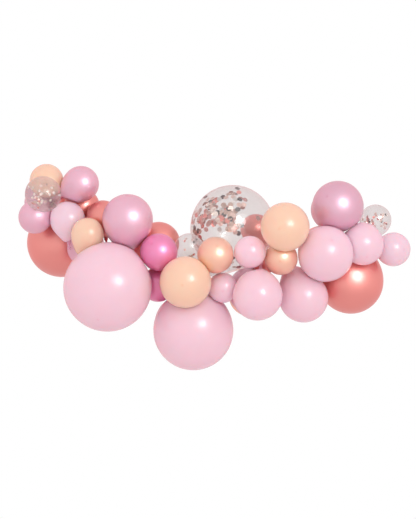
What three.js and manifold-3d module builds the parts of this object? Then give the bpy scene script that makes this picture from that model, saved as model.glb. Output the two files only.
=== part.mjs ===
// A balloon garland, 1.34 m long: latex balloons of two sizes, each blown up to its own diameter,
// tied through the holes of a clear decorating strip or tucked and glued between their neighbours.
// Millimetres, +Z up, the front faces -Y. The origin is on the strip's left end, where it hangs.

import * as THREE from 'three';
import Module from 'manifold-3d';
import { mergeVertices } from 'three/addons/utils/BufferGeometryUtils.js';

const wasm = await Module();
wasm.setup();

// ---------------------------------------------------------------- driving dimensions

// An inflated balloon: a sphere on the far side, drawn out to the neck on the near side.
const SHOULDER = { height: 0.10, power: 3 }; // the broad pear shape, unless a balloon has its own
const THROAT = { height: 0.25, power: 16 }; // the last taper into the neck
const PRESS_RANGE = 1.35; // two balloons nearer than this times their radii share a contact plane
const CONTACT_GAP = 0.4; // left between the two skins at a contact

// The neck and its overhand knot
const NECK_RADIUS = 3.6;
const KNOT_RADIUS = 6.5;
const KNOT_LENGTH = 10;
const FREE_NECK = 12; // neck of a tucked balloon
const NECK_LEAD = 35; // a tied neck turns towards its hole over this length
const BEND_HOLD = 0.4; // how much of the bend each of its ends rules
const PAST_HOLE = 4; // straight neck on each side of the strip, where it passes through
const NECK_ROOM = 3; // neighbours stay this far from a neck or the strip

// The decorating strip
const STRIP_WIDTH = 14;
const STRIP_THICKNESS = 1;
const NECK_HOLE_RADIUS = 5;
const EYE_RADIUS = 4.6;
const NECK_HOLE_SIDES = 6;
const EYE_SIDES = 8;
const STRIP_STEP = 36; // length of one flat facet
const STRIP_END = 34; // length of each straight end, which carries the hanging eye
const EYE_INSET = 10; // eye centre from the very end
const HANG_INSET = 23; // middle of the flat between the eye and the next piece of strip

// Where the strip runs, from left to right
const STRIP_ROUTE = [
  [-570, 105, 240],
  [-534, 105, 240],
  [-516, 105, 240],
  [-482, 109, 222],
  [-440, 128, 192],
  [-390, 110, 145],
  [-345, 55, 92],
  [-300, 25, 45],
  [-250, 35, 15],
  [-205, 50, -2],
  [-165, 48, -15],
  [-115, 48, -38],
  [-60, 50, -65],
  [0, 55, -82],
  [60, 62, -88],
  [110, 86, -92],
  [160, 99, -95],
  [210, 86, -107],
  [252, 58, -113],
  [295, 38, -106],
  [340, 35, -82],
  [380, 60, -45],
  [418, 85, -2],
  [460, 90, 42],
  [504, 71, 67],
  [545, 50, 80],
  [563, 50, 80],
  [598, 50, 80],
];

// Colour, roughness and metalness of each kind of latex
const FINISHES = {
  matte_pink: [0xf3bccd, 0.45, 0.0],
  matte_lilac: [0xe9c6d8, 0.45, 0.0],
  matte_peach: [0xf9cba4, 0.45, 0.0],
  pearl_pink: [0xdf9fb7, 0.3, 0.15],
  pearl_mauve: [0xd59dba, 0.3, 0.15],
  pearl_peach: [0xf7b791, 0.3, 0.15],
  hot_pink: [0xee7fb4, 0.3, 0.1],
  rose_gold: [0xdd7a70, 0.25, 0.7],
  clear_latex: [0xe4dedd, 0.1, 0.0],
  clear_strip: [0xf2f2f0, 0.25, 0.0],
};

// How a neck is held: through the strip hole at that x, coming from the front or from the back,
// or tucked between the neighbours in a direction of its own.
const fromFront = (x) => ({ hole: x, side: 1 });
const fromBack = (x) => ({ hole: x, side: -1 });
const tucked = (...direction) => ({ direction });

// Name, finish, diameter, centre, neck, and the shoulder's height where it is fuller than usual.
// Lengths from the middle of the garland's front view.
const BALLOONS = [
  ['peach_top_left', 'matte_peach', 116, [-555, -15, 270], tucked(0, 1, 0.6)],
  ['confetti_small_left', 'clear_latex', 122, [-555, -110, 220], tucked(0.2, 1, -0.3)],
  ['pearl_pink_top_left', 'pearl_pink', 122, [-434, -40, 259], tucked(-1, 0.25, -0.65), 0.28],
  ['pearl_pink_far_left', 'pearl_pink', 114, [-590, -45, 145], tucked(-0.4, 1, 0)],
  ['mauve_far_left_behind', 'pearl_mauve', 112, [-585, 60, 200], tucked(-0.6, 1, -0.3)],
  ['lilac_left', 'matte_lilac', 120, [-479, -55, 138], tucked(0.05, 0.1, -1), 0.14],
  ['rose_gold_big_left', 'rose_gold', 244, [-520, 135, 60], fromBack(-512)],
  ['rose_gold_small_left', 'rose_gold', 124, [-440, 55, 185], tucked(-0.2, 0.5, 0.9)],
  ['rose_gold_left_middle', 'rose_gold', 116, [-360, -30, 145], tucked(0.12, 0.25, -1)],
  ['peach_small_left', 'matte_peach', 110, [-405, -110, 86], tucked(-0.42, 0.4, -1), 0.22],
  ['mauve_left_behind', 'pearl_mauve', 138, [-417, -5, 42], tucked(0.2, 1, 0.25)],
  ['pearl_pink_left_middle', 'pearl_pink', 170, [-270, -120, 135], tucked(0, 0.45, -1), 0.2],
  ['pink_big_left', 'matte_pink', 294, [-335, -150, -93], fromFront(-300)],
  ['rose_gold_middle', 'rose_gold', 148, [-170, -5, 56], tucked(-0.85, 0.1, -0.6), 0.14],
  ['hot_pink_front', 'hot_pink', 126, [-165, -130, 25], tucked(0.35, 0.9, -0.45)],
  ['hot_pink_behind', 'hot_pink', 118, [-170, -60, -85], tucked(-0.2, 1, 0)],
  ['peach_middle', 'matte_peach', 172, [-75, -175, -75], tucked(0.1, 1, 0.1)],
  ['clear_small_middle', 'clear_latex', 98, [-65, -85, 40], tucked(0, 1, -0.4)],
  ['pearl_peach_middle', 'pearl_peach', 122, [25, -145, 15], tucked(-0.1, 1, -0.5)],
  ['confetti_big', 'clear_latex', 292, [85, 20, 112], fromFront(25)],
  ['pink_small_middle', 'matte_pink', 108, [140, -145, 25], tucked(-0.1, 1, -0.5)],
  ['peach_right_middle', 'matte_peach', 162, [255, -180, 108], tucked(0.3, 1, 0.1)],
  ['pearl_peach_right', 'pearl_peach', 112, [245, -122, 4], tucked(0.1, 1, 0.15)],
  ['pink_small_low', 'matte_pink', 102, [50, -105, -95], tucked(0, 1, 0.2)],
  ['mauve_low_behind', 'pearl_mauve', 164, [150, 0, -105], tucked(0.35, 0.6, -0.35)],
  ['pink_low_middle', 'matte_pink', 166, [165, -155, -120], tucked(0.12, 0.55, 0.85)],
  ['pink_low_right', 'matte_pink', 168, [325, -62, -130], tucked(-0.42, 0.45, 0.9), 0.25],
  ['pink_right', 'matte_pink', 188, [395, -120, 20], fromFront(362)],
  ['rose_gold_right_behind', 'rose_gold', 134, [395, 25, 50], tucked(-1, 0.6, 0.3)],
  ['mauve_top_right', 'pearl_mauve', 174, [440, -75, 180], tucked(0.55, 0.9, -0.4)],
  ['mauve_top_right_behind', 'pearl_mauve', 140, [430, 70, 175], fromBack(462)],
  ['confetti_small_right', 'clear_latex', 108, [575, -20, 135], fromFront(555)],
  ['pink_far_right', 'matte_pink', 141, [525, -80, 51], tucked(-0.1, 0.8, 0.6), 0.3],
  ['lilac_far_right', 'matte_lilac', 116, [635, -30, 35], tucked(-0.6, 1, 0)],
  ['rose_gold_big_right', 'rose_gold', 226, [495, 30, -75], fromBack(530)],
  ['pink_big_bottom', 'matte_pink', 272, [-50, -60, -240], fromFront(-66)],
  ['rose_gold_back_middle', 'rose_gold', 102, [166, 200, 110], tucked(0.3, -0.2, -1)],
  ['rose_gold_small_middle', 'rose_gold', 84, [190, -25, -10], tucked(0.6, 0.8, -0.2)],
  ['pink_back_left', 'matte_pink', 190, [-340, 150, -50], fromBack(-335)],
  ['peach_back_left', 'matte_peach', 130, [-200, 165, 60], fromBack(-205)],
  ['pearl_pink_back_low', 'pearl_pink', 170, [-60, 140, -190], fromBack(-28)],
  ['pink_back_middle', 'matte_pink', 140, [-85, 185, -65], fromBack(-110)],
  ['pearl_peach_back_low', 'pearl_peach', 150, [150, 215, -130], fromBack(160)],
  ['lilac_back_right', 'matte_lilac', 150, [330, 165, -140], fromBack(345)],
  ['peach_back_right', 'matte_peach', 156, [430, 200, 0], fromBack(422)],
];

// ---------------------------------------------------------------- the strip's centre line

const strip = new THREE.CatmullRomCurve3(
  STRIP_ROUTE.map((p) => new THREE.Vector3(...p)),
  false,
  'centripetal',
);
strip.arcLengthDivisions = 2000;
const stripLength = strip.getLength();
const BACK = new THREE.Vector3(0, 1, 0);

// Place, direction, flat-side normal and width direction of the strip at part u of its length.
function stripFrame(u) {
  const at = strip.getPointAt(u);
  const along = strip.getTangentAt(u);
  const normal = BACK.clone().addScaledVector(along, -BACK.dot(along)).normalize();
  const across = new THREE.Vector3().crossVectors(along, normal);
  return { at, along, normal, across };
}

// The strip runs from left to right all the way, so a hole is found by its x.
function partAtX(x) {
  let low = 0;
  let high = 1;
  for (let k = 0; k < 40; k += 1) {
    const middle = (low + high) / 2;
    if (strip.getPointAt(middle).x < x) low = middle;
    else high = middle;
  }
  return low;
}

// ---------------------------------------------------------------- balloons: shape and contacts

// Distance from a balloon's centre to its skin, at an angle from the neck, for a shoulder height.
function freeRadius(radius, height, cosine) {
  const toNeck = Math.max(0, cosine);
  const shoulder = height * toNeck ** SHOULDER.power;
  const throat = THROAT.height * toNeck ** THROAT.power;
  return radius * (1 + shoulder + throat);
}

const balloons = BALLOONS.map(([name, finish, diameter, centre, neck, shoulder = SHOULDER.height]) => {
  const at = new THREE.Vector3(...centre);
  const radius = diameter / 2;
  const hole = neck.direction ? null : stripFrame(partAtX(neck.hole));
  const through = hole ? hole.normal.clone().multiplyScalar(neck.side) : null;
  const axis = hole
    ? hole.at.clone().addScaledVector(through, -NECK_LEAD).sub(at).normalize()
    : new THREE.Vector3(...neck.direction).normalize();
  const tip = at.clone().addScaledVector(axis, freeRadius(radius, shoulder, 1));
  return { name, finish, radius, shoulder, at, axis, neckPath: neckPath(tip, axis, hole, through) };
});

// The neck's centre line, from the tip of the body to the far end of the knot. A free neck is
// straight; a tied one bends towards its hole and passes straight through it.
function neckPath(tip, axis, hole, through) {
  const path = new THREE.CurvePath();
  let last = tip;
  const straightOn = (way, length) => {
    const next = last.clone().addScaledVector(way, length);
    path.add(new THREE.LineCurve3(last, next));
    last = next;
  };
  if (hole) {
    const near = hole.at.clone().addScaledVector(through, -PAST_HOLE);
    const hold = tip.distanceTo(near) * BEND_HOLD;
    const leave = tip.clone().addScaledVector(axis, hold);
    const arrive = near.clone().addScaledVector(through, -hold);
    path.add(new THREE.CubicBezierCurve3(tip, leave, arrive, near));
    last = near;
    straightOn(through, 2 * PAST_HOLE);
  } else {
    straightOn(axis, FREE_NECK);
  }
  straightOn(through ?? axis, KNOT_LENGTH);
  return path;
}

// Two pressed balloons meet in the plane where the tangents to both spheres are equally long.
function contactPlane(own, other) {
  const between = other.at.clone().sub(own.at);
  const distance = between.length();
  if (distance > PRESS_RANGE * (own.radius + other.radius)) return null;
  const squares = distance ** 2 + own.radius ** 2 - other.radius ** 2;
  return { normal: between.normalize(), reach: squares / (2 * distance) - CONTACT_GAP / 2 };
}

// A neck or the strip keeps a balloon back behind a plane square to the nearest way across.
function clearancePlane(own, point, room) {
  const between = point.clone().sub(own.at);
  const distance = between.length();
  return { normal: between.normalize(), reach: distance - room };
}

const STRIP_SAMPLES = 140;
const stripPoints = strip.getSpacedPoints(STRIP_SAMPLES);
const NECK_SAMPLES = 10;

function planesAround(own) {
  const planes = [];
  for (const other of balloons) {
    if (other !== own) {
      planes.push(contactPlane(own, other));
      for (const point of other.neckPath.getSpacedPoints(NECK_SAMPLES)) {
        planes.push(clearancePlane(own, point, KNOT_RADIUS + NECK_ROOM));
      }
    }
  }
  for (const point of stripPoints) {
    planes.push(clearancePlane(own, point, STRIP_WIDTH / 2 + NECK_ROOM));
  }
  return planes.filter((plane) => plane && plane.reach < own.radius * PRESS_RANGE);
}

// ---------------------------------------------------------------- balloons: mesh

// Sides round the body and angles of its rings from the neck, in degrees, by size of balloon
const BODY_STEPS = [
  { over: 100, sides: 14, rings: [156, 132, 110, 90, 66, 40, 13] },
  { over: 76, sides: 12, rings: [150, 120, 90, 62, 36, 14] },
  { over: 0, sides: 10, rings: [150, 120, 92, 64, 36, 14] },
];

// A balloon is a stack of rings with as many points each, closed by a point at either end.
function balloonGeometry(balloon) {
  const { sides, rings } = BODY_STEPS.find((step) => balloon.radius > step.over);
  const planes = planesAround(balloon);
  const up = Math.abs(balloon.axis.z) < 0.9 ? new THREE.Vector3(0, 0, 1) : new THREE.Vector3(1, 0, 0);
  const right = new THREE.Vector3().crossVectors(balloon.axis, up).normalize();
  const front = new THREE.Vector3().crossVectors(balloon.axis, right);
  const points = [];

  const skinPoint = (angle, turn) => {
    const ray = balloon.axis.clone().multiplyScalar(Math.cos(angle));
    ray.addScaledVector(right, Math.sin(angle) * Math.cos(turn));
    ray.addScaledVector(front, Math.sin(angle) * Math.sin(turn));
    let reach = freeRadius(balloon.radius, balloon.shoulder, Math.cos(angle));
    for (const plane of planes) {
      const slope = ray.dot(plane.normal);
      if (slope > 0) reach = Math.min(reach, plane.reach / slope);
    }
    return balloon.at.clone().addScaledVector(ray, reach);
  };

  points.push(skinPoint(Math.PI, 0));
  for (const degrees of rings) {
    for (let k = 0; k < sides; k += 1) {
      points.push(skinPoint(THREE.MathUtils.degToRad(degrees), (2 * Math.PI * k) / sides));
    }
  }

  // Neck rings follow the neck's path; the frame is carried along it without twisting.
  const stations = neckStations(balloon.neckPath);
  let ahead = balloon.axis;
  for (const station of stations) {
    const turn = new THREE.Quaternion().setFromUnitVectors(ahead, station.ahead);
    right.applyQuaternion(turn);
    front.applyQuaternion(turn);
    ahead = station.ahead;
    for (let k = 0; k < sides; k += 1) {
      const angle = (2 * Math.PI * k) / sides;
      const point = station.at.clone().addScaledVector(right, station.radius * Math.cos(angle));
      points.push(point.addScaledVector(front, station.radius * Math.sin(angle)));
    }
  }
  points.push(balloon.neckPath.getPoint(1));
  return ringsGeometry(points, sides, rings.length + stations.length);
}

// A ring where each stretch of the neck ends, one more halfway round a bend, and the knot's
// fat middle.
function neckStations(path) {
  const stations = [];
  const addStation = (curve, part, radius) => {
    stations.push({ at: curve.getPoint(part), ahead: curve.getTangent(part), radius });
  };
  const stretches = path.curves.slice(0, -1);
  if (stretches.length > 1) addStation(stretches[0], 0.5, NECK_RADIUS);
  for (const stretch of stretches) addStation(stretch, 1, NECK_RADIUS);
  addStation(path.curves.at(-1), 0.5, KNOT_RADIUS);
  return stations;
}

function ringsGeometry(points, sides, ringCount) {
  const faces = [];
  const last = points.length - 1;
  for (let k = 0; k < sides; k += 1) {
    const next = (k + 1) % sides;
    faces.push(0, 1 + next, 1 + k);
    for (let ring = 0; ring < ringCount - 1; ring += 1) {
      const a = 1 + ring * sides + k;
      const b = 1 + ring * sides + next;
      faces.push(a, b, b + sides, a, b + sides, a + sides);
    }
    const start = 1 + (ringCount - 1) * sides;
    faces.push(start + k, start + next, last);
  }
  const geometry = new THREE.BufferGeometry().setFromPoints(points);
  geometry.setIndex(faces);
  return geometry;
}

// ---------------------------------------------------------------- the strip's solid

function toManifold(geometry) {
  const bare = geometry.clone();
  bare.deleteAttribute('normal');
  bare.deleteAttribute('uv');
  const merged = mergeVertices(bare, 1e-4);
  return new wasm.Manifold(new wasm.Mesh({
    numProp: 3,
    vertProperties: new Float32Array(merged.attributes.position.array),
    triVerts: new Uint32Array(merged.index.array),
  }));
}

function toGeometry(manifold) {
  const mesh = manifold.getMesh();
  const geometry = new THREE.BufferGeometry();
  geometry.setAttribute('position', new THREE.BufferAttribute(mesh.vertProperties, 3));
  geometry.setIndex(new THREE.BufferAttribute(mesh.triVerts, 1));
  return geometry;
}

// A length of strip between two parts of the whole, as a chain of four-cornered sections.
function ribbonGeometry(from, to, steps) {
  const points = [stripFrame(from).at];
  for (let k = 0; k <= steps; k += 1) {
    const { at, normal, across } = stripFrame(from + ((to - from) * k) / steps);
    for (const [side, face] of [[-1, -1], [-1, 1], [1, 1], [1, -1]]) {
      const corner = at.clone().addScaledVector(across, (side * STRIP_WIDTH) / 2);
      points.push(corner.addScaledVector(normal, (face * STRIP_THICKNESS) / 2));
    }
  }
  points.push(stripFrame(to).at);
  return ringsGeometry(points, 4, steps + 1);
}

function punch(radius, sides, frame) {
  const cutter = new THREE.CylinderGeometry(radius, radius, STRIP_THICKNESS * 8, sides);
  const pose = new THREE.Matrix4().makeBasis(frame.along, frame.normal, frame.across);
  pose.setPosition(frame.at);
  return toManifold(cutter.applyMatrix4(pose));
}

const endPart = STRIP_END / stripLength;
const eyePart = EYE_INSET / stripLength;
const partGap = CONTACT_GAP / stripLength;

function stripMiddle() {
  const steps = Math.round((stripLength - 2 * STRIP_END) / STRIP_STEP);
  let solid = toManifold(ribbonGeometry(endPart + partGap, 1 - endPart - partGap, steps));
  for (const [, , , , neck] of BALLOONS) {
    if (neck.side) {
      const frame = stripFrame(partAtX(neck.hole));
      solid = solid.subtract(punch(NECK_HOLE_RADIUS, NECK_HOLE_SIDES, frame));
    }
  }
  return toGeometry(solid);
}

function stripEnd(from, to, eye) {
  const solid = toManifold(ribbonGeometry(from, to, 1));
  return toGeometry(solid.subtract(punch(EYE_RADIUS, EYE_SIDES, stripFrame(eye))));
}

// ---------------------------------------------------------------- assembly

const garland = new THREE.Group();

function addMesh(name, geometry, finish) {
  const [color, roughness, metalness] = FINISHES[finish];
  const material = new THREE.MeshStandardMaterial({ color, roughness, metalness });
  const mesh = new THREE.Mesh(geometry, material);
  mesh.name = name;
  garland.add(mesh);
}

for (const balloon of balloons) addMesh(balloon.name, balloonGeometry(balloon), balloon.finish);
addMesh('strip_middle', stripMiddle(), 'clear_strip');
addMesh('strip_end_left', stripEnd(0, endPart, eyePart), 'clear_strip');
addMesh('strip_end_right', stripEnd(1 - endPart, 1, 1 - eyePart), 'clear_strip');

// The origin goes to the back face of the left end, beside its eye.
const hangingPoint = stripFrame(HANG_INSET / stripLength).at;
hangingPoint.y += STRIP_THICKNESS / 2;
garland.position.copy(hangingPoint).negate();

const object = new THREE.Group();
object.add(garland);

export default object;
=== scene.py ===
"""A party garland of latex balloons tied and tucked along a clear decorating strip.

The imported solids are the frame. Every balloon is read back from its own solid and laid again
as a fine skin, in the same place and with the same contacts. Lengths are in metres.
"""
import math
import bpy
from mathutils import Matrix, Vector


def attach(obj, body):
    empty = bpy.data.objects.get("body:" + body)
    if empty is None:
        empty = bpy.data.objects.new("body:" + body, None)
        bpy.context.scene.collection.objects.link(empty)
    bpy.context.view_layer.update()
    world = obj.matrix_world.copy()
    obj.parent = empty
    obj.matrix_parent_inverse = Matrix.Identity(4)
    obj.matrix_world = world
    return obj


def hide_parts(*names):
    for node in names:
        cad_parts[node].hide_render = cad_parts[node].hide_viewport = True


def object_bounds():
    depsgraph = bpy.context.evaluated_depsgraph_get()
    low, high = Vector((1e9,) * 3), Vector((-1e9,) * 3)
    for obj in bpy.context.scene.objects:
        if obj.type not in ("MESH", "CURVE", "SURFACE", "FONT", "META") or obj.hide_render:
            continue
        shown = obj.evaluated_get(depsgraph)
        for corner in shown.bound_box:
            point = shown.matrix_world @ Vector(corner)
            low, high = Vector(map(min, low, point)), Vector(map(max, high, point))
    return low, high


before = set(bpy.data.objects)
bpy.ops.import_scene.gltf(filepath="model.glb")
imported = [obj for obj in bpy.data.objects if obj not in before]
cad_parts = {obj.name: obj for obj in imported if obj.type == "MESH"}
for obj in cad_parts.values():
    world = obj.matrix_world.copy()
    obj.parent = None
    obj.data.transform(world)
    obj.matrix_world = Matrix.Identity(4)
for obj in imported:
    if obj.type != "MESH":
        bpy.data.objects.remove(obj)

from types import SimpleNamespace

import bmesh
import bpy
import numpy as np
from mathutils import Vector

cad_low, cad_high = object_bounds()

# ------------------------------------------------------------------ camera
# A level view of the garland from well in front, with a long lens so that near and far
# balloons keep their true sizes. The view is centred on the row of balloons, not on the box.
GARLAND_OFF_BOX = Vector((-0.023, 0.0035, 0.025))
CAMERA_DISTANCE = 4.5
CAMERA_LENS = 90.5

garland_middle = (cad_low + cad_high) / 2 + GARLAND_OFF_BOX
camera_data = bpy.data.cameras.new("garland_camera")
camera_data.lens = CAMERA_LENS
camera = bpy.data.objects.new("garland_camera", camera_data)
camera.location = garland_middle - Vector((0, CAMERA_DISTANCE, 0))
camera.rotation_euler = (math.radians(90), 0, 0)
bpy.context.scene.collection.objects.link(camera)
bpy.context.scene.camera = camera
bpy.context.scene.view_settings.view_transform = "Standard"

# ------------------------------------------------------------------ studio
# A white room: soft light from all round, white from the camera's side and warm pink from
# behind the garland and from below; a round softbox to the right of the camera, with a wider
# and weaker one round it that only shows in gloss; and a weak square fill.
FROM_BELOW, FROM_THE_SIDES, FROM_ABOVE = (0.93, 0.78, 0.78), (1.0, 0.96, 0.96), (0.97, 0.93, 0.95)
FROM_BEHIND, FROM_BESIDE, FROM_IN_FRONT = (0.88, 0.60, 0.60), (0.94, 0.80, 0.82), (1.02, 1.02, 1.02)
ROOM_WHITE = (1.0, 1.0, 1.0, 1.0)
KEY_WAY = (0.443, -0.855, 0.27)
KEY_SIZE, KEY_DISTANCE, KEY_POWER = 1.0, 3.2, 24
BLOOM_SIZE, BLOOM_DISTANCE, BLOOM_POWER = 2.4, 3.3, 34
FILL_WAY = (0.30, -0.90, 0.35)
FILL_SIZE, FILL_DISTANCE, FILL_POWER = 1.6, 3.2, 9
FLOOR_DROP = 1.65
FLOOR_SIZE = 6.0
FLOOR_COLOUR = (0.86, 0.85, 0.85, 1)
FLOOR_ROUGHNESS = 0.8


def add(tree, kind, **values):
    """A new shader node of that kind, with the given inputs set by name."""
    node = tree.nodes.new(kind)
    for name, value in values.items():
        node.inputs[name.replace("_", " ")].default_value = value
    return node


def ramp(tree, source, *stops):
    """A colour ramp fed by source, with stops of (place, colour)."""
    node = tree.nodes.new("ShaderNodeValToRGB")
    tree.links.new(source, node.inputs["Fac"])
    elements = node.color_ramp.elements
    while len(elements) < len(stops):
        elements.new(0.5)
    for element, (place, colour) in zip(elements, stops):
        element.position = place
        element.color = (*colour, 1)
    return node.outputs["Color"]


def softbox(name, way, distance, shape, size, power):
    """An area light in the direction `way` from the garland's middle, turned to face it."""
    data = bpy.data.lights.new(name, "AREA")
    data.shape = shape
    data.size = size
    data.energy = power
    lamp = bpy.data.objects.new(name, data)
    way = Vector(way).normalized()
    lamp.location = garland_middle + way * distance
    lamp.rotation_euler = (-way).to_track_quat("-Z", "Y").to_euler()
    bpy.context.scene.collection.objects.link(lamp)
    return lamp


world = bpy.data.worlds.new("white_room")
bpy.context.scene.world = world
world.use_nodes = True
room = world.node_tree
room.nodes.clear()
direction = add(room, "ShaderNodeTexCoord").outputs["Generated"]
split = add(room, "ShaderNodeSeparateXYZ")
room.links.new(direction, split.inputs[0])
height = add(room, "ShaderNodeMapRange", From_Min=-1, From_Max=1)
room.links.new(split.outputs["Z"], height.inputs["Value"])
depth = add(room, "ShaderNodeMapRange", From_Min=1, From_Max=-1)
room.links.new(split.outputs["Y"], depth.inputs["Value"])
by_height = ramp(room, height.outputs[0], (0.0, FROM_BELOW), (0.5, FROM_THE_SIDES), (1.0, FROM_ABOVE))
by_depth = ramp(room, depth.outputs[0], (0.0, FROM_BEHIND), (0.5, FROM_BESIDE), (1.0, FROM_IN_FRONT))
both = room.nodes.new("ShaderNodeMix")
both.data_type, both.blend_type = "RGBA", "MULTIPLY"
both.inputs["Factor"].default_value = 1
room.links.new(by_height, both.inputs["A"])
room.links.new(by_depth, both.inputs["B"])
soft_light = add(room, "ShaderNodeBackground", Strength=1.0)
room.links.new(both.outputs["Result"], soft_light.inputs["Color"])
white_wall = add(room, "ShaderNodeBackground", Color=ROOM_WHITE, Strength=1.0)
ray = add(room, "ShaderNodeLightPath")
seen_directly = room.nodes.new("ShaderNodeMath")
seen_directly.operation = "MAXIMUM"
room.links.new(ray.outputs["Is Camera Ray"], seen_directly.inputs[0])
room.links.new(ray.outputs["Is Transmission Ray"], seen_directly.inputs[1])
either = add(room, "ShaderNodeMixShader")
room.links.new(seen_directly.outputs[0], either.inputs["Fac"])
room.links.new(soft_light.outputs[0], either.inputs[1])
room.links.new(white_wall.outputs[0], either.inputs[2])
room.links.new(either.outputs[0], add(room, "ShaderNodeOutputWorld").inputs["Surface"])

key = softbox("key", KEY_WAY, KEY_DISTANCE, "DISK", KEY_SIZE, KEY_POWER)
bloom = softbox("bloom", KEY_WAY, BLOOM_DISTANCE, "DISK", BLOOM_SIZE, BLOOM_POWER)
key.visible_diffuse = bloom.visible_diffuse = False
softbox("fill", FILL_WAY, FILL_DISTANCE, "SQUARE", FILL_SIZE, FILL_POWER)

floor_mesh = bpy.data.meshes.new("floor")
half = FLOOR_SIZE / 2
floor_level = garland_middle.z - FLOOR_DROP
floor_corners = ((-1, -1), (1, -1), (1, 1), (-1, 1))
floor_mesh.from_pydata(
    [(garland_middle.x + x * half, y * half, floor_level) for x, y in floor_corners], [], [(0, 1, 2, 3)],
)
floor = bpy.data.objects.new("floor", floor_mesh)
bpy.context.scene.collection.objects.link(floor)
pale = bpy.data.materials.new("pale_floor")
pale.use_nodes = True
pale.node_tree.nodes["Principled BSDF"].inputs["Base Color"].default_value = FLOOR_COLOUR
pale.node_tree.nodes["Principled BSDF"].inputs["Roughness"].default_value = FLOOR_ROUGHNESS
floor_mesh.materials.append(pale)

# ------------------------------------------------------------------ matte latex balloons
# The plain balloons, in pale pink, lilac and peach: thin stretched latex with a satin face,
# knotted by hand. Each is read back from its solid, then laid as a fine grid.
MM = 0.001
SPHERE_RINGS = 4  # the rings nearest the far pole, which lie on the balloon's sphere
SPHERE_TRIES = 1200
SPHERE_CLOSENESS = 1e-5
BIGGEST_RADIUS = 0.2
SHOULDER_POWER = 3  # the broad pear shape, whose height each balloon has for itself
SHOULDER_COSINE = 0.35  # the shoulder's height is read nearer the neck than this
THROAT_HEIGHT, THROAT_POWER = 0.25, 16  # the last taper into the neck
FEW_SIDES, FEW_RINGS, MANY_RINGS = 12, 6, 7  # body rings of a solid with few or many sides
TIED_NECK_RINGS = 6
BEND_HOLD = 0.4
BEND_POINTS = 64


def unit(v):
    """Vectors of length one, along the last axis."""
    return v / np.linalg.norm(v, axis=-1, keepdims=True)


def solid_mesh(node):
    """The points and triangles of a solid, with all corners at one place made one point."""
    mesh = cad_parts[node].data
    corners = np.empty(len(mesh.vertices) * 3)
    mesh.vertices.foreach_get("co", corners)
    corners = corners.reshape(-1, 3)
    index = np.empty(len(mesh.loops), int)
    mesh.loops.foreach_get("vertex_index", index)
    _, first, same = np.unique(corners.round(6), axis=0, return_index=True, return_inverse=True)
    return corners[first], same.reshape(-1)[index].reshape(-1, 3)


def rings_of(points, triangles):
    """The rings of a solid from the far pole to the knot, each made of what touches the last.
    The two poles touch the most points, and the far pole has the wider fan round it."""
    touching = np.zeros((len(points), len(points)), bool)
    touching[triangles, np.roll(triangles, 1, axis=1)] = True
    touching |= touching.T
    poles = np.argsort(touching.sum(1))[-2:]
    fan = [np.linalg.norm(points[touching[pole]] - points[pole], axis=1).mean() for pole in poles]
    layer = np.arange(len(points)) == poles[np.argmax(fan)]
    rings, seen = [], layer.copy()
    while layer.any():
        rings.append(points[layer])
        layer = touching[layer].any(0) & ~seen
        seen |= layer
    return rings


def sphere_of(pool, draw):
    """Centre and radius of the sphere that most of the points lie on: the best of many spheres
    through four points drawn from them, fitted again by least squares to the points on it."""
    origin = pool.mean(0)
    pool = pool - origin
    four = pool[draw.integers(len(pool), size=(SPHERE_TRIES, 4))]
    squares = (four ** 2).sum(2)
    across = 2 * (four[:, 1:] - four[:, :1])
    middle = (np.linalg.pinv(across) @ (squares[:, 1:] - squares[:, :1])[..., None])[..., 0]
    radius = np.linalg.norm(four[:, 0] - middle, axis=1)
    reach = np.linalg.norm(pool[None] - middle[:, None], axis=2)
    agree = (abs(reach - radius[:, None]) < SPHERE_CLOSENESS) & (radius[:, None] < BIGGEST_RADIUS)
    on = pool[agree[agree.sum(1).argmax()]]
    fit = np.linalg.lstsq(np.c_[2 * on, np.ones(len(on))], (on ** 2).sum(1), rcond=None)[0]
    return origin + fit[:3], math.sqrt(fit[3] + fit[:3] @ fit[:3])


def read_balloon(node, draw):
    """What one solid says of its balloon: its centre, radius and axis toward the neck, the
    height of its shoulder, where its neck ends and its knot ends, and whether it is tied."""
    rings = rings_of(*solid_mesh(node))
    centre, radius = sphere_of(np.vstack(rings[:SPHERE_RINGS]), draw)
    axis = unit(centre - rings[0][0])
    body = MANY_RINGS if len(rings[1]) > FEW_SIDES else FEW_RINGS
    out = np.vstack(rings[1:body + 1]) - centre
    reach = np.linalg.norm(out, axis=1)
    cosine = out @ axis / reach
    drawn = cosine > SHOULDER_COSINE
    cosine, reach = cosine[drawn], reach[drawn]
    over_throat = reach / radius - 1 - THROAT_HEIGHT * cosine ** THROAT_POWER
    tied = len(rings) - body == TIED_NECK_RINGS
    return SimpleNamespace(
        node=node, centre=centre, radius=radius, axis=axis, tied=tied,
        shoulder=(over_throat / cosine ** SHOULDER_POWER).max(),
        near=rings[-4 if tied else -3].mean(0), end=rings[-1][0],
    )


def free_radius(balloon, cosine):
    """Distance from the centre to the skin: the radius, times one plus the shoulder and the
    throat, each a height times a power of the cosine of the angle from the neck."""
    toward = np.maximum(0, cosine)
    shoulder = balloon.shoulder * toward ** SHOULDER_POWER
    return balloon.radius * (1 + shoulder + THROAT_HEIGHT * toward ** THROAT_POWER)


def distance_along(line):
    """The distance along a line of points, at each of them."""
    return np.r_[0, np.linalg.norm(np.diff(line, axis=0), axis=1).cumsum()]


def points_along(line, along, s):
    """The points of a line at distances s along it."""
    return np.stack([np.interp(s, along, line[:, k]) for k in range(3)], axis=-1)


def ways_along(line, along, s, step):
    """The directions of a line at distances s, from a step before each to a step after."""
    before = points_along(line, along, np.maximum(s - step, 0))
    after = points_along(line, along, np.minimum(s + step, along[-1]))
    return unit(after - before)


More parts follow.
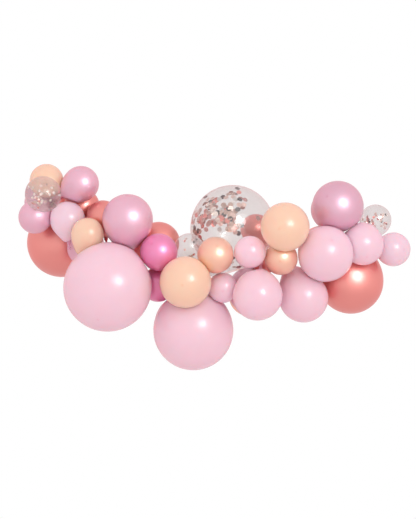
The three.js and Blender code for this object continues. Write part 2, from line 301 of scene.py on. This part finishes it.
def neck_line(balloon):
    """The neck's centre line and the distance along it: a cubic bend from the body's tip to
    the hole or the tuck, then straight on through it to the far end of the knot."""
    tip = balloon.centre + balloon.axis * free_radius(balloon, 1.0)
    through = unit(balloon.end - balloon.near)
    hold = np.linalg.norm(balloon.near - tip) * BEND_HOLD
    t = np.linspace(0, 1, BEND_POINTS)[:, None]
    a, b, c, d = tip, tip + balloon.axis * hold, balloon.near - through * hold, balloon.near
    bend = a * (1 - t) ** 3 + 3 * b * t * (1 - t) ** 2 + 3 * c * t ** 2 * (1 - t) + d * t ** 3
    line = np.vstack([bend, balloon.end])
    return line, distance_along(line)


# The strip's route in mm from the garland's middle, and that middle from the hanging end
STRIP_ROUTE = np.array([
    [-570, 105, 240], [-534, 105, 240], [-516, 105, 240], [-482, 109, 222], [-440, 128, 192],
    [-390, 110, 145], [-345, 55, 92], [-300, 25, 45], [-250, 35, 15], [-205, 50, -2],
    [-165, 48, -15], [-115, 48, -38], [-60, 50, -65], [0, 55, -82], [60, 62, -88],
    [110, 86, -92], [160, 99, -95], [210, 86, -107], [252, 58, -113], [295, 38, -106],
    [340, 35, -82], [380, 60, -45], [418, 85, -2], [460, 90, 42], [504, 71, 67],
    [545, 50, 80], [563, 50, 80], [598, 50, 80],
])
MIDDLE_FROM_HANGER = np.array([547, -105.5, -240])
POINTS_PER_STRETCH = 40


def strip_line(spacing):
    """The strip's centre line, as a centripetal Catmull-Rom curve through the route, in points
    `spacing` apart: each stretch is a cubic whose end slopes come from knots spaced by the
    square root of the distance between the points."""
    stops = STRIP_ROUTE * MM + MIDDLE_FROM_HANGER * MM
    ends = np.vstack([2 * stops[0] - stops[1], stops, 2 * stops[-1] - stops[-2]])
    p0, p1, p2, p3 = ends[:-3], ends[1:-2], ends[2:-1], ends[3:]
    pairs = ((p0, p1), (p1, p2), (p2, p3))
    d0, d1, d2 = (np.sqrt(np.linalg.norm(b - a, axis=1))[:, None] for a, b in pairs)
    m1 = ((p1 - p0) / d0 - (p2 - p0) / (d0 + d1) + (p2 - p1) / d1) * d1
    m2 = ((p2 - p1) / d1 - (p3 - p1) / (d1 + d2) + (p3 - p2) / d2) * d1
    t = np.linspace(0, 1, POINTS_PER_STRETCH, endpoint=False)[:, None, None]
    line = (p1 * (2 * t ** 3 - 3 * t ** 2 + 1) + m1 * (t ** 3 - 2 * t ** 2 + t)
            + p2 * (3 * t ** 2 - 2 * t ** 3) + m2 * (t ** 3 - t ** 2))
    line = np.vstack([line.transpose(1, 0, 2).reshape(-1, 3), stops[-1]])
    along = distance_along(line)
    s = np.linspace(0, along[-1], round(along[-1] / spacing) + 1)
    return points_along(line, along, s), s


draw = np.random.default_rng(7)
finish_of = {node: solid.data.materials[0].name for node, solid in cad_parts.items()}
balloons = [read_balloon(node, draw) for node, finish in sorted(finish_of.items()) if finish != "clear_strip"]
strip_points, _ = strip_line(10 * MM)

PRESS_RANGE = 1.35  # spheres nearer than this many times their two radii can press
CONTACT_GAP = 0.4 * MM
NECK_CLEARANCE = 9.5 * MM
NECK_STATIONS = 11
STRIP_CLEARANCE = 10 * MM
GRAZING = 0.05  # a ray that runs nearly along a plane never meets it
NO_LIMIT = 9.0


def planes_around(own):
    """Normals and distances, from the centre, of the planes that hold a balloon back. Two
    balloons meet where the tangents to both spheres are equally long; a neck or the strip
    keeps a balloon back behind a plane square to the nearest way across."""
    normals, reaches = [], []
    for other in balloons:
        if other is own:
            continue
        between = other.centre - own.centre
        distance = np.linalg.norm(between)
        if distance < PRESS_RANGE * (own.radius + other.radius):
            normals.append(between[None] / distance)
            squares = distance ** 2 + own.radius ** 2 - other.radius ** 2
            reaches.append([squares / (2 * distance) - CONTACT_GAP / 2])
        line, along = neck_line(other)
        across = points_along(line, along, np.linspace(0, along[-1], NECK_STATIONS)) - own.centre
        normals.append(unit(across))
        reaches.append(np.linalg.norm(across, axis=1) - NECK_CLEARANCE)
    across = strip_points - own.centre
    normals.append(unit(across))
    reaches.append(np.linalg.norm(across, axis=1) - STRIP_CLEARANCE)
    normals, reaches = np.vstack(normals), np.concatenate(reaches)
    near = reaches < own.radius * PRESS_RANGE
    return normals[near], reaches[near]


def contact_limits(balloon, rays):
    """How far each ray from the centre may go before each plane round the balloon: the plane's
    distance over the cosine of the angle between the ray and its normal."""
    normals, reaches = planes_around(balloon)
    slope = rays @ normals.T
    return np.where(slope > GRAZING, reaches / np.maximum(slope, GRAZING), NO_LIMIT)


EASE = 0.02  # how softly a contact begins, as a share of the radius
NECK_HALF_WIDTH = 8 * MM  # where the body's rings stop and the neck's begin
POLE_RINGS = np.array([1.5, 3, 5, 8, 12]) * MM  # the first rings' distances from the far pole
POLE_RING_GAP = 0.05  # the angle from those to the first even ring
POLE_POINT_HEIGHT, POLE_POINT_WIDTH = 0.5 * MM, 3.5 * MM


def body_rays(balloon, turn, wheel, along):
    """Rays from the centre to every point of the body: the far pole, then rings about the
    neck's axis, close together at the pole and even from there to where the neck begins."""
    table = np.linspace(0.0, 0.5, 2000)
    half_width = free_radius(balloon, np.cos(table)) * np.sin(table)
    last = np.interp(NECK_HALF_WIDTH, half_width, table)
    by_pole = np.pi - POLE_RINGS / balloon.radius
    angle = np.r_[by_pole, np.linspace(by_pole[-1] - POLE_RING_GAP, last, along)]
    rays = np.cos(angle)[:, None, None] * balloon.axis + np.sin(angle)[:, None, None] * wheel
    return np.vstack([-balloon.axis, rays.reshape(-1, 3)]), len(angle)


def body_points(balloon, rays):
    """Each point as far out as the free shape and the planes allow, joined by a soft minimum:
    minus the log of the sum of the exponentials of minus each distance. The far pole stands
    up a little, as a bell curve of the distance from it. Also gives that distance."""
    cosine = rays @ balloon.axis
    distances = np.c_[free_radius(balloon, cosine), contact_limits(balloon, rays)]
    nearest = distances.min(1, keepdims=True)
    ease = EASE * balloon.radius
    out = nearest[:, 0] - ease * np.log(np.exp((nearest - distances) / ease).sum(1))
    from_pole = (np.pi - np.arccos(np.clip(cosine, -1, 1))) * balloon.radius
    out += POLE_POINT_HEIGHT * np.exp(-((from_pole / POLE_POINT_WIDTH) ** 2))
    return balloon.centre + rays * out[:, None], from_pole


# Distance along the neck (from the knot's end where it is negative) and half width, in mm
NECK_PROFILE = [
    (1.2, 6.4), (2.4, 5.3), (4.0, 4.4), (6.0, 3.8), (9.0, 3.5), (-13.0, 3.4), (-11.0, 3.3),
    (-10.0, 3.6), (-9.4, 5.0), (-8.6, 6.0), (-7.4, 6.4), (-6.2, 6.1), (-5.4, 5.0), (-4.9, 3.7),
    (-4.2, 3.3), (-3.2, 3.9), (-2.0, 5.2), (-1.0, 6.0), (-0.4, 6.4), (-0.05, 6.2), (-0.1, 5.6),
    (-0.7, 4.6), (-1.8, 3.0), (-3.0, 1.2),
]
KNOT_LENGTH = 14 * MM  # the stations counted from the body stop short of the knot
NECK_STEP = 0.5 * MM
PLEAT_LENGTH = 16 * MM
BROAD_PLEATS = (3, 0.13, 220)  # count, depth as a share of the half width, turn per metre
FINE_PLEATS = (7, 0.07, -90)
LIP_DEPTH = 3 * MM


def neck_points(balloon, turn, right):
    """Rings square to the neck's centre line, as wide as the profile, with pleats that deepen
    toward the knot and turn on their way: one plus a depth times a cosine round the ring."""
    profile = np.array(NECK_PROFILE) * MM
    line, along = neck_line(balloon)
    length = along[-1]
    s = np.where(profile[:, 0] < 0, length + profile[:, 0], profile[:, 0])
    keep = (profile[:, 0] < 0) | (s < length - KNOT_LENGTH)
    s, half_width = s[keep], profile[keep, 1]
    ahead = ways_along(line, along, s, NECK_STEP)
    across = unit(right - (ahead @ right)[:, None] * ahead)
    upward = np.cross(ahead, across)
    fold = np.clip(1 - (length - s) / PLEAT_LENGTH, 0, 1)[:, None]
    pleat = 1 + sum(depth * fold * np.cos(count * turn + twist * s[:, None])
                    for count, depth, twist in (BROAD_PLEATS, FINE_PLEATS))
    round_it = np.cos(turn)[:, None] * across[:, None] + np.sin(turn)[:, None] * upward[:, None]
    hose = points_along(line, along, s)[:, None] + (half_width[:, None] * pleat)[..., None] * round_it
    inside_lip = balloon.end - unit(balloon.end - balloon.near) * LIP_DEPTH
    return np.vstack([hose.reshape(-1, 3), inside_lip]), len(s)


SLACK_ANGLE = 0.30  # how far round from the neck the latex is slack
POLE_SLACK, POLE_SLACK_WIDTH = 0.3, 4.5 * MM


def skin(balloon, around, along):
    """Points, faces and slackness of a balloon: the body's rings, then the neck's rings, joined
    by quads, with a fan at the far pole and one inside the knot's rolled lip."""
    turn = np.arange(around) * 2 * np.pi / around
    sideways = np.cross(balloon.axis, unit(balloon.end - balloon.near))
    if np.linalg.norm(sideways) < 0.05:  # a straight neck gives no bend to go by
        upright = abs(balloon.axis[2]) < 0.9
        sideways = np.cross(balloon.axis, (0.0, 0.0, 1.0) if upright else (1.0, 0.0, 0.0))
    right = unit(sideways)
    front = np.cross(balloon.axis, right)
    wheel = np.cos(turn)[:, None] * right + np.sin(turn)[:, None] * front
    rays, body_rows = body_rays(balloon, turn, wheel, along)
    body, from_pole = body_points(balloon, rays)
    neck, neck_rows = neck_points(balloon, turn, right)
    points = np.vstack([body, neck])
    base = 1 + np.arange(body_rows + neck_rows)[:, None] * around
    here, there = np.arange(around), (np.arange(around) + 1) % around
    quads = np.stack([base[:-1] + here, base[:-1] + there, base[1:] + there, base[1:] + here], axis=2)
    pole_fan = np.stack([np.zeros(around, int), 1 + there, 1 + here], axis=1)
    lip_fan = np.stack([base[-1] + here, base[-1] + there, np.full(around, len(points) - 1)], axis=1)
    from_neck = np.arccos(np.clip(rays @ balloon.axis, -1, 1))
    slack = np.maximum(np.exp(-((from_neck / SLACK_ANGLE) ** 2)),
                       POLE_SLACK * np.exp(-((from_pole / POLE_SLACK_WIDTH) ** 2)))
    return points, [quads.reshape(-1, 4), pole_fan, lip_fan], np.r_[slack, np.ones(len(neck))]


def new_piece(name, points, groups, material, marks=None, smooth=True):
    """A mesh piece from whole arrays of points and faces, riding on the garland."""
    mesh = bpy.data.meshes.new(name)
    faces = [tuple(face) for group in groups for face in group.tolist()]
    mesh.from_pydata(points.tolist(), [], faces)
    mesh.polygons.foreach_set("use_smooth", np.full(len(faces), smooth))
    for mark, values in (marks or {}).items():
        mesh.attributes.new(mark, "FLOAT", "POINT").data.foreach_set("value", values.astype(np.float32))
    mesh.materials.append(material)
    mesh.update()
    piece = bpy.data.objects.new(name, mesh)
    bpy.context.scene.collection.objects.link(piece)
    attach(piece, "root")
    return piece


# Smallest radius, points around and body rings of each fineness
FINENESS = [(0.1, 128, 88), (0.07, 104, 72), (0.0, 88, 60)]


def lay_skins(finish, material):
    """Lays every balloon of one finish, finer where it is bigger."""
    laid = []
    for balloon in balloons:
        if finish_of[balloon.node] == finish:
            around, along = next(grid for least, *grid in FINENESS if balloon.radius > least)
            points, groups, slack = skin(balloon, around, along)
            name = "skin_" + balloon.node
            piece = new_piece(name, points, groups, material, {"slack": slack})
            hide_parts(balloon.node)
            laid.append(piece)
    return laid


MOTTLE_SCALE, MOTTLE_DARKEST = 9.0, 0.97
PORE_SCALE, PORE_DEPTH, PORE_STRENGTH = 420.0, 0.2 * MM, 0.05
GLOSS_VARIATION = 0.02


def latex(name, thin, thick, roughness, **fixed):
    """Stretched latex: the thin colour over the body, mottled a little, and the thick colour
    where it is slack, at the neck and the pole; an uneven gloss and fine pores."""
    material = bpy.data.materials.new(name)
    material.use_nodes = True
    tree = material.node_tree
    shader = tree.nodes["Principled BSDF"]
    place = add(tree, "ShaderNodeTexCoord").outputs["Object"]
    cloud = add(tree, "ShaderNodeTexNoise", Scale=MOTTLE_SCALE, Detail=3.0, Roughness=0.5)
    pores = add(tree, "ShaderNodeTexNoise", Scale=PORE_SCALE, Detail=2.0)
    slack = tree.nodes.new("ShaderNodeAttribute")
    slack.attribute_name = "slack"
    for texture in (cloud, pores):
        tree.links.new(place, texture.inputs["Vector"])
    darkest = tuple(MOTTLE_DARKEST * c for c in thin)
    mottled = ramp(tree, cloud.outputs["Fac"], (0.35, darkest), (0.65, thin))
    colour = tree.nodes.new("ShaderNodeMix")
    colour.data_type = "RGBA"
    colour.inputs["B"].default_value = (*thick, 1)
    tree.links.new(slack.outputs["Fac"], colour.inputs["Factor"])
    tree.links.new(mottled, colour.inputs["A"])
    tree.links.new(colour.outputs["Result"], shader.inputs["Base Color"])
    low, high = roughness - GLOSS_VARIATION, roughness + GLOSS_VARIATION
    gloss = add(tree, "ShaderNodeMapRange", To_Min=low, To_Max=high)
    tree.links.new(cloud.outputs["Fac"], gloss.inputs["Value"])
    tree.links.new(gloss.outputs[0], shader.inputs["Roughness"])
    bump = add(tree, "ShaderNodeBump", Strength=PORE_STRENGTH, Distance=PORE_DEPTH)
    tree.links.new(pores.outputs["Fac"], bump.inputs["Height"])
    tree.links.new(bump.outputs[0], shader.inputs["Normal"])
    for socket, value in fixed.items():
        shader.inputs[socket.replace("_", " ")].default_value = value
    return material


MATTE_ROUGHNESS = 0.19
MATTE = dict(Subsurface_Weight=0.6, Subsurface_Radius=(1.0, 0.30, 0.38), Subsurface_Scale=0.05)
matte_pink = latex("matte_pink_latex", (0.95, 0.70, 0.79), (0.90, 0.42, 0.55), MATTE_ROUGHNESS, **MATTE)
lay_skins("matte_pink", matte_pink)
matte_lilac = latex("matte_lilac_latex", (0.90, 0.72, 0.81), (0.80, 0.44, 0.58), MATTE_ROUGHNESS, **MATTE)
lay_skins("matte_lilac", matte_lilac)
matte_peach = latex("matte_peach_latex", (0.99, 0.71, 0.52), (0.95, 0.48, 0.25), MATTE_ROUGHNESS, **MATTE)
lay_skins("matte_peach", matte_peach)

# ------------------------------------------------------------------ pearl latex balloons
# Latex with mica in it, in pink, mauve, peach and a hot pink: a broad silvery bloom over a
# deeper body, under the small sharp highlight of the smooth outer face.
PEARL_ROUGHNESS = 0.40
PEARL = dict(Metallic=0.4, Coat_Weight=0.6, Coat_Roughness=0.06,
             Subsurface_Weight=0.5, Subsurface_Radius=(1.0, 0.3, 0.35), Subsurface_Scale=0.04)
pearl_pink = latex("pearl_pink_latex", (0.84, 0.54, 0.66), (0.72, 0.22, 0.34), PEARL_ROUGHNESS, **PEARL)
lay_skins("pearl_pink", pearl_pink)
pearl_mauve = latex("pearl_mauve_latex", (0.78, 0.50, 0.62), (0.62, 0.20, 0.36), PEARL_ROUGHNESS, **PEARL)
lay_skins("pearl_mauve", pearl_mauve)
pearl_peach = latex("pearl_peach_latex", (0.96, 0.62, 0.46), (0.90, 0.34, 0.15), PEARL_ROUGHNESS, **PEARL)
lay_skins("pearl_peach", pearl_peach)
hot_pink = latex("hot_pink_latex", (0.87, 0.30, 0.54), (0.80, 0.10, 0.30), PEARL_ROUGHNESS, **PEARL)
lay_skins("hot_pink", hot_pink)

# ------------------------------------------------------------------ rose gold latex balloons
# Chrome-like latex in a warm copper pink: it reflects the room broadly, and its highlight has
# a wide soft halo.
ROSE_GOLD_ROUGHNESS = 0.38
ROSE_GOLD = dict(Metallic=0.75, Coat_Weight=0.5, Coat_Roughness=0.09)
rose_gold = latex("rose_gold_latex", (0.88, 0.34, 0.30), (0.70, 0.15, 0.13), ROSE_GOLD_ROUGHNESS, **ROSE_GOLD)
lay_skins("rose_gold", rose_gold)

# ------------------------------------------------------------------ clear latex balloons
# Unpigmented latex, slightly grey and milky, thin enough to see the far side and what lies
# inside. The big one is stretched the thinnest, so it is a little clearer.
CLEAR = dict(IOR=1.02, Coat_Weight=0.9, Coat_Roughness=0.03)
big_clear = latex("big_clear_latex", (0.80, 0.77, 0.76), (0.66, 0.62, 0.60), 0.08,
                  Transmission_Weight=0.88, **CLEAR)
small_clear = latex("small_clear_latex", (0.80, 0.77, 0.76), (0.64, 0.59, 0.57), 0.10,
                    Transmission_Weight=0.86, **CLEAR)
for piece in lay_skins("clear_latex", small_clear):
    piece.visible_shadow = False
    piece.visible_diffuse = False
    if piece.name == "skin_confetti_big":
        piece.data.materials[0] = big_clear

# ------------------------------------------------------------------ foil confetti
# Round foil punchings shut in the clear balloons. They cling to the inside of the wall in
# drifts, some face on and some tipped, a few stacked on each other.
DISC_SIDES = 12
DISC_HALF_THICKNESS = 0.1 * MM
DISC_SIZES = (0.9, 1.0)  # least and most, as shares of the full size
STACK_NEAREST, STACK_DEPTH = 1.5, 2.5  # mm from the wall
RIM_CLEARANCE = 0.6 * MM
DRIFT_EDGE = 0.97
FRONT_SHARE = 0.6
TIP = 0.16
TONE_SPREAD = 0.02
# The foil is one rose metal. Its dark grey tone is a painted dark reflection and its cream tone a painted
# highlight, both set into the discs' colour. Silver, brown, rose and coral are the foils' own tones.
DARK_REFLECTION, SILVER, BROWN, ROSE, CREAM_HIGHLIGHT, CORAL = 0.0, 0.2, 0.4, 0.6, 0.8, 1.0
FOIL_COLOURS = [
    (DARK_REFLECTION, (0.12, 0.12, 0.12)), (SILVER, (0.70, 0.67, 0.64)), (BROWN, (0.55, 0.39, 0.33)),
    (ROSE, (0.74, 0.54, 0.48)), (CREAM_HIGHLIGHT, (0.92, 0.84, 0.77)), (CORAL, (0.85, 0.34, 0.30)),
]
CRINKLE_SCALE, CRINKLE_DEPTH, CRINKLE_STRENGTH = 160.0, 0.4 * MM, 0.3

foil = bpy.data.materials.new("confetti_foil")
foil.use_nodes = True
tree = foil.node_tree
shader = tree.nodes["Principled BSDF"]
tone = tree.nodes.new("ShaderNodeAttribute")
tone.attribute_name = "tone"
tree.links.new(ramp(tree, tone.outputs["Fac"], *FOIL_COLOURS), shader.inputs["Base Color"])
crinkle = add(tree, "ShaderNodeTexNoise", Scale=CRINKLE_SCALE, Detail=2.0)
tree.links.new(add(tree, "ShaderNodeTexCoord").outputs["Object"], crinkle.inputs["Vector"])
gloss = add(tree, "ShaderNodeMapRange", To_Min=0.22, To_Max=0.45)
tree.links.new(crinkle.outputs["Fac"], gloss.inputs["Value"])
tree.links.new(gloss.outputs[0], shader.inputs["Roughness"])
dent = add(tree, "ShaderNodeBump", Strength=CRINKLE_STRENGTH, Distance=CRINKLE_DEPTH)
tree.links.new(crinkle.outputs["Fac"], dent.inputs["Height"])
tree.links.new(dent.outputs[0], shader.inputs["Normal"])
shader.inputs["Metallic"].default_value = 0.7


def confetti(node, size, drifts, tones, seed):
    """Thin round discs on the inside of one balloon. Each drift is a place on the balloon's
    face (right, up, in radii), a spread and a count; a disc is thrown to the front or the back
    wall about that place, tipped a little off the wall, and sunk by its turn in the stack."""
    luck = np.random.default_rng(seed)
    balloon = next(b for b in balloons if b.node == node)
    across = np.vstack([luck.normal((x, z), spread, (count, 2)) for x, z, spread, count in drifts])
    across *= np.minimum(1, DRIFT_EDGE / np.linalg.norm(across, axis=1))[:, None]
    wall = np.where(luck.random(len(across)) < FRONT_SHARE, -1, 1)
    away = np.c_[across[:, 0], wall * np.sqrt(1 - (across ** 2).sum(1)), across[:, 1]]
    stacked = (STACK_NEAREST + STACK_DEPTH * luck.random(len(away))) * MM
    room_out = np.minimum(balloon.radius, contact_limits(balloon, away).min(1)) - stacked
    rim_reach = np.sqrt(balloon.radius ** 2 - (size / 2) ** 2) - RIM_CLEARANCE
    room_out = np.minimum(room_out, rim_reach)
    facing = unit(away + luck.normal(0, TIP, away.shape))
    side = unit(np.cross(facing, luck.normal(0, 1, away.shape)))
    other = np.cross(facing, side)
    turn = np.arange(DISC_SIDES) * 2 * np.pi / DISC_SIDES
    radius = size / 2 * luck.uniform(*DISC_SIZES, len(away))[:, None, None]
    rim = radius * (np.cos(turn)[:, None] * side[:, None] + np.sin(turn)[:, None] * other[:, None])
    middle = (balloon.centre + away * room_out[:, None])[:, None]
    lift = DISC_HALF_THICKNESS * facing[:, None]
    points = np.concatenate([middle + rim + lift, middle + rim - lift], axis=1).reshape(-1, 3)
    base = np.arange(len(away))[:, None] * 2 * DISC_SIDES
    here, there = np.arange(DISC_SIDES), (np.arange(DISC_SIDES) + 1) % DISC_SIDES
    edge = np.stack([base + here, base + here + DISC_SIDES, base + there + DISC_SIDES, base + there], axis=2)
    faces = [base + here, base + here[::-1] + DISC_SIDES, edge.reshape(-1, 4)]
    # Each disc takes one tone from the list given, painted dark reflections and painted highlights among
    # them.
    tint = luck.choice(tones, len(away)) + luck.normal(0, TONE_SPREAD, len(away))
    marks = {"tone": np.clip(np.repeat(tint, 2 * DISC_SIDES), 0, 1)}
    new_piece("foil_in_" + node, points, faces, foil, marks, smooth=False)


confetti("confetti_big", 19 * MM, [
    (-0.78, 0.22, 0.12, 22), (-0.58, 0.48, 0.11, 20), (-0.30, 0.55, 0.13, 16), (-0.42, 0.22, 0.16, 26),
    (-0.10, 0.22, 0.14, 26), (0.05, 0.02, 0.12, 22), (0.10, 0.62, 0.13, 9), (0.08, 0.88, 0.05, 4),
    (-0.78, -0.18, 0.10, 14), (0.00, -0.78, 0.25, 18), (0.30, 0.38, 0.12, 4),
], [DARK_REFLECTION, SILVER, BROWN, BROWN, BROWN, ROSE, ROSE, ROSE, CREAM_HIGHLIGHT, CORAL], seed=19)
confetti("confetti_small_left", 10 * MM, [
    (-0.45, -0.35, 0.25, 13), (0.00, -0.50, 0.28, 10), (-0.55, 0.15, 0.15, 4), (0.55, 0.10, 0.22, 5),
    (-0.10, 0.60, 0.15, 3),
], [SILVER, ROSE, ROSE, CREAM_HIGHLIGHT, CREAM_HIGHLIGHT, CREAM_HIGHLIGHT, CORAL], seed=2)
confetti("confetti_small_right", 9.5 * MM, [
    (-0.60, -0.15, 0.16, 20), (0.10, 0.25, 0.30, 12), (0.45, -0.25, 0.18, 10), (0.55, 0.25, 0.12, 4),
], [DARK_REFLECTION, BROWN, ROSE, ROSE, CREAM_HIGHLIGHT, CORAL, CORAL], seed=30)
confetti("clear_small_middle", 9 * MM, [
    (0.45, 0.55, 0.10, 3), (-0.15, 0.65, 0.18, 3), (0.1, -0.5, 0.2, 3),
], [DARK_REFLECTION, ROSE, CORAL], seed=17)

# ------------------------------------------------------------------ decorating strip
# A flat clear plastic strip with a row of holes along it, wide ones for necks and small ones
# between. The balloons' necks are pushed through it and their knots hold them.
STRIP_HALF_WIDTH = 7 * MM
STRIP_HALF_THICKNESS = 0.5 * MM
EYE_INSET, EYE_RADIUS = 10 * MM, 4.6 * MM
NECK_HOLE_RADIUS = 5.0 * MM
SPARE_HOLE_RADIUS, SPARE_HOLE_PITCH = 3.0 * MM, 26 * MM
NECK_PAST_NEAR = 4 * MM  # how far past the end of its bend a neck goes through the strip
SIDE_POINTS = 6
STRIP_SPACING, STRIP_STEP = 2 * MM, 4 * MM

route, route_s = strip_line(STRIP_SPACING)
strip_length = route_s[-1]
tied_at = [b.near + unit(b.end - b.near) * NECK_PAST_NEAR for b in balloons if b.tied]
tied_s = [route_s[np.linalg.norm(route - at, axis=1).argmin()] for at in tied_at]
main_holes = sorted(tied_s + [EYE_INSET, strip_length - EYE_INSET])
holes = [(main_holes[0], EYE_RADIUS)]
for before, after in zip(main_holes[:-1], main_holes[1:]):
    spare = max(0, round((after - before) / SPARE_HOLE_PITCH) - 1)
    for k in range(spare):
        holes.append((before + (after - before) * (k + 1) / (spare + 1), SPARE_HOLE_RADIUS))
    holes.append((after, EYE_RADIUS if after == main_holes[-1] else NECK_HOLE_RADIUS))
at_s, hole_radius = np.array(holes).T
cell_ends = np.r_[0, (at_s[1:] + at_s[:-1]) / 2, strip_length]
side = np.linspace(-1, 1, SIDE_POINTS + 1)[:-1]
square = np.vstack([
    np.c_[side, -np.ones(SIDE_POINTS)], np.c_[np.ones(SIDE_POINTS), side],
    np.c_[-side, np.ones(SIDE_POINTS)], np.c_[-np.ones(SIDE_POINTS), -side],
])
u, v = square.T
half_cell = np.where(u < 0, (at_s - cell_ends[:-1])[:, None], (cell_ends[1:] - at_s)[:, None])
outer_s = at_s[:, None] + u * half_cell
outer = np.stack([outer_s, np.broadcast_to(v * STRIP_HALF_WIDTH, outer_s.shape)], axis=2)
ring = unit(square)
inner_s = at_s[:, None] + hole_radius[:, None] * ring[:, 0]
inner = np.stack([inner_s, hole_radius[:, None] * ring[:, 1]], axis=2)


def on_strip(flat, lift):
    """Points of the strip from (distance along, distance across) and a lift off its middle:
    the point of the route, plus the distance across and the lift square to it. The strip's
    face looks to the back of the garland."""
    s = np.clip(flat[..., 0], 0, strip_length)
    ahead = ways_along(route, route_s, s, STRIP_STEP)
    back = np.array([0.0, 1.0, 0.0])
    normal = unit(back - ahead * (ahead @ back)[..., None])
    return points_along(route, route_s, s) + np.cross(ahead, normal) * flat[..., 1:] + normal * lift


loops = np.stack([on_strip(outer, STRIP_HALF_THICKNESS), on_strip(inner, STRIP_HALF_THICKNESS),
                  on_strip(inner, -STRIP_HALF_THICKNESS), on_strip(outer, -STRIP_HALF_THICKNESS)], axis=1)
cells, count = len(at_s), 4 * SIDE_POINTS
base = (np.arange(cells)[:, None, None] * 4 + np.arange(4)[None, :, None]) * count
here, there = np.arange(count), (np.arange(count) + 1) % count
from_loop, to_loop = base[:, :3], base[:, 1:]
walls = np.stack([from_loop + here, from_loop + there, to_loop + there, to_loop + here], axis=3)
last_loop, first_loop = base[:, 3], base[:, 0]
rim = np.stack([last_loop + here, last_loop + there, first_loop + there, first_loop + here], axis=2)
long_edge = (v == -1) & (u < 1) | (v == 1) & (u > -1)
far_end, near_end = rim[-1:, SIDE_POINTS:2 * SIDE_POINTS], rim[:1, 3 * SIDE_POINTS:]
strip_faces = [faces.reshape(-1, 4) for faces in (walls, rim[:, long_edge], far_end, near_end)]

plastic = bpy.data.materials.new("clear_strip_plastic")
plastic.use_nodes = True
tree = plastic.node_tree
shader = tree.nodes["Principled BSDF"]
haze = add(tree, "ShaderNodeTexNoise", Scale=60.0, Detail=3.0)
tree.links.new(add(tree, "ShaderNodeTexCoord").outputs["Object"], haze.inputs["Vector"])
hazy = ramp(tree, haze.outputs["Fac"], (0.3, (0.86, 0.87, 0.87)), (0.7, (0.93, 0.94, 0.94)))
tree.links.new(hazy, shader.inputs["Base Color"])
scuff = add(tree, "ShaderNodeMapRange", To_Min=0.18, To_Max=0.34)
tree.links.new(haze.outputs["Fac"], scuff.inputs["Value"])
tree.links.new(scuff.outputs[0], shader.inputs["Roughness"])
ripple = add(tree, "ShaderNodeBump", Strength=0.15, Distance=0.5 * MM)
tree.links.new(haze.outputs["Fac"], ripple.inputs["Height"])
tree.links.new(ripple.outputs[0], shader.inputs["Normal"])
shader.inputs["Transmission Weight"].default_value = 0.85
shader.inputs["IOR"].default_value = 1.3
strip = new_piece("decorating_strip", loops.reshape(-1, 3), strip_faces, plastic, smooth=False)
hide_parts("strip_middle", "strip_end_left", "strip_end_right")
strip.visible_shadow = False
welder = bmesh.new()
welder.from_mesh(strip.data)
bmesh.ops.remove_doubles(welder, verts=welder.verts, dist=0.01 * MM)
bmesh.ops.recalc_face_normals(welder, faces=welder.faces)
welder.to_mesh(strip.data)
welder.free()
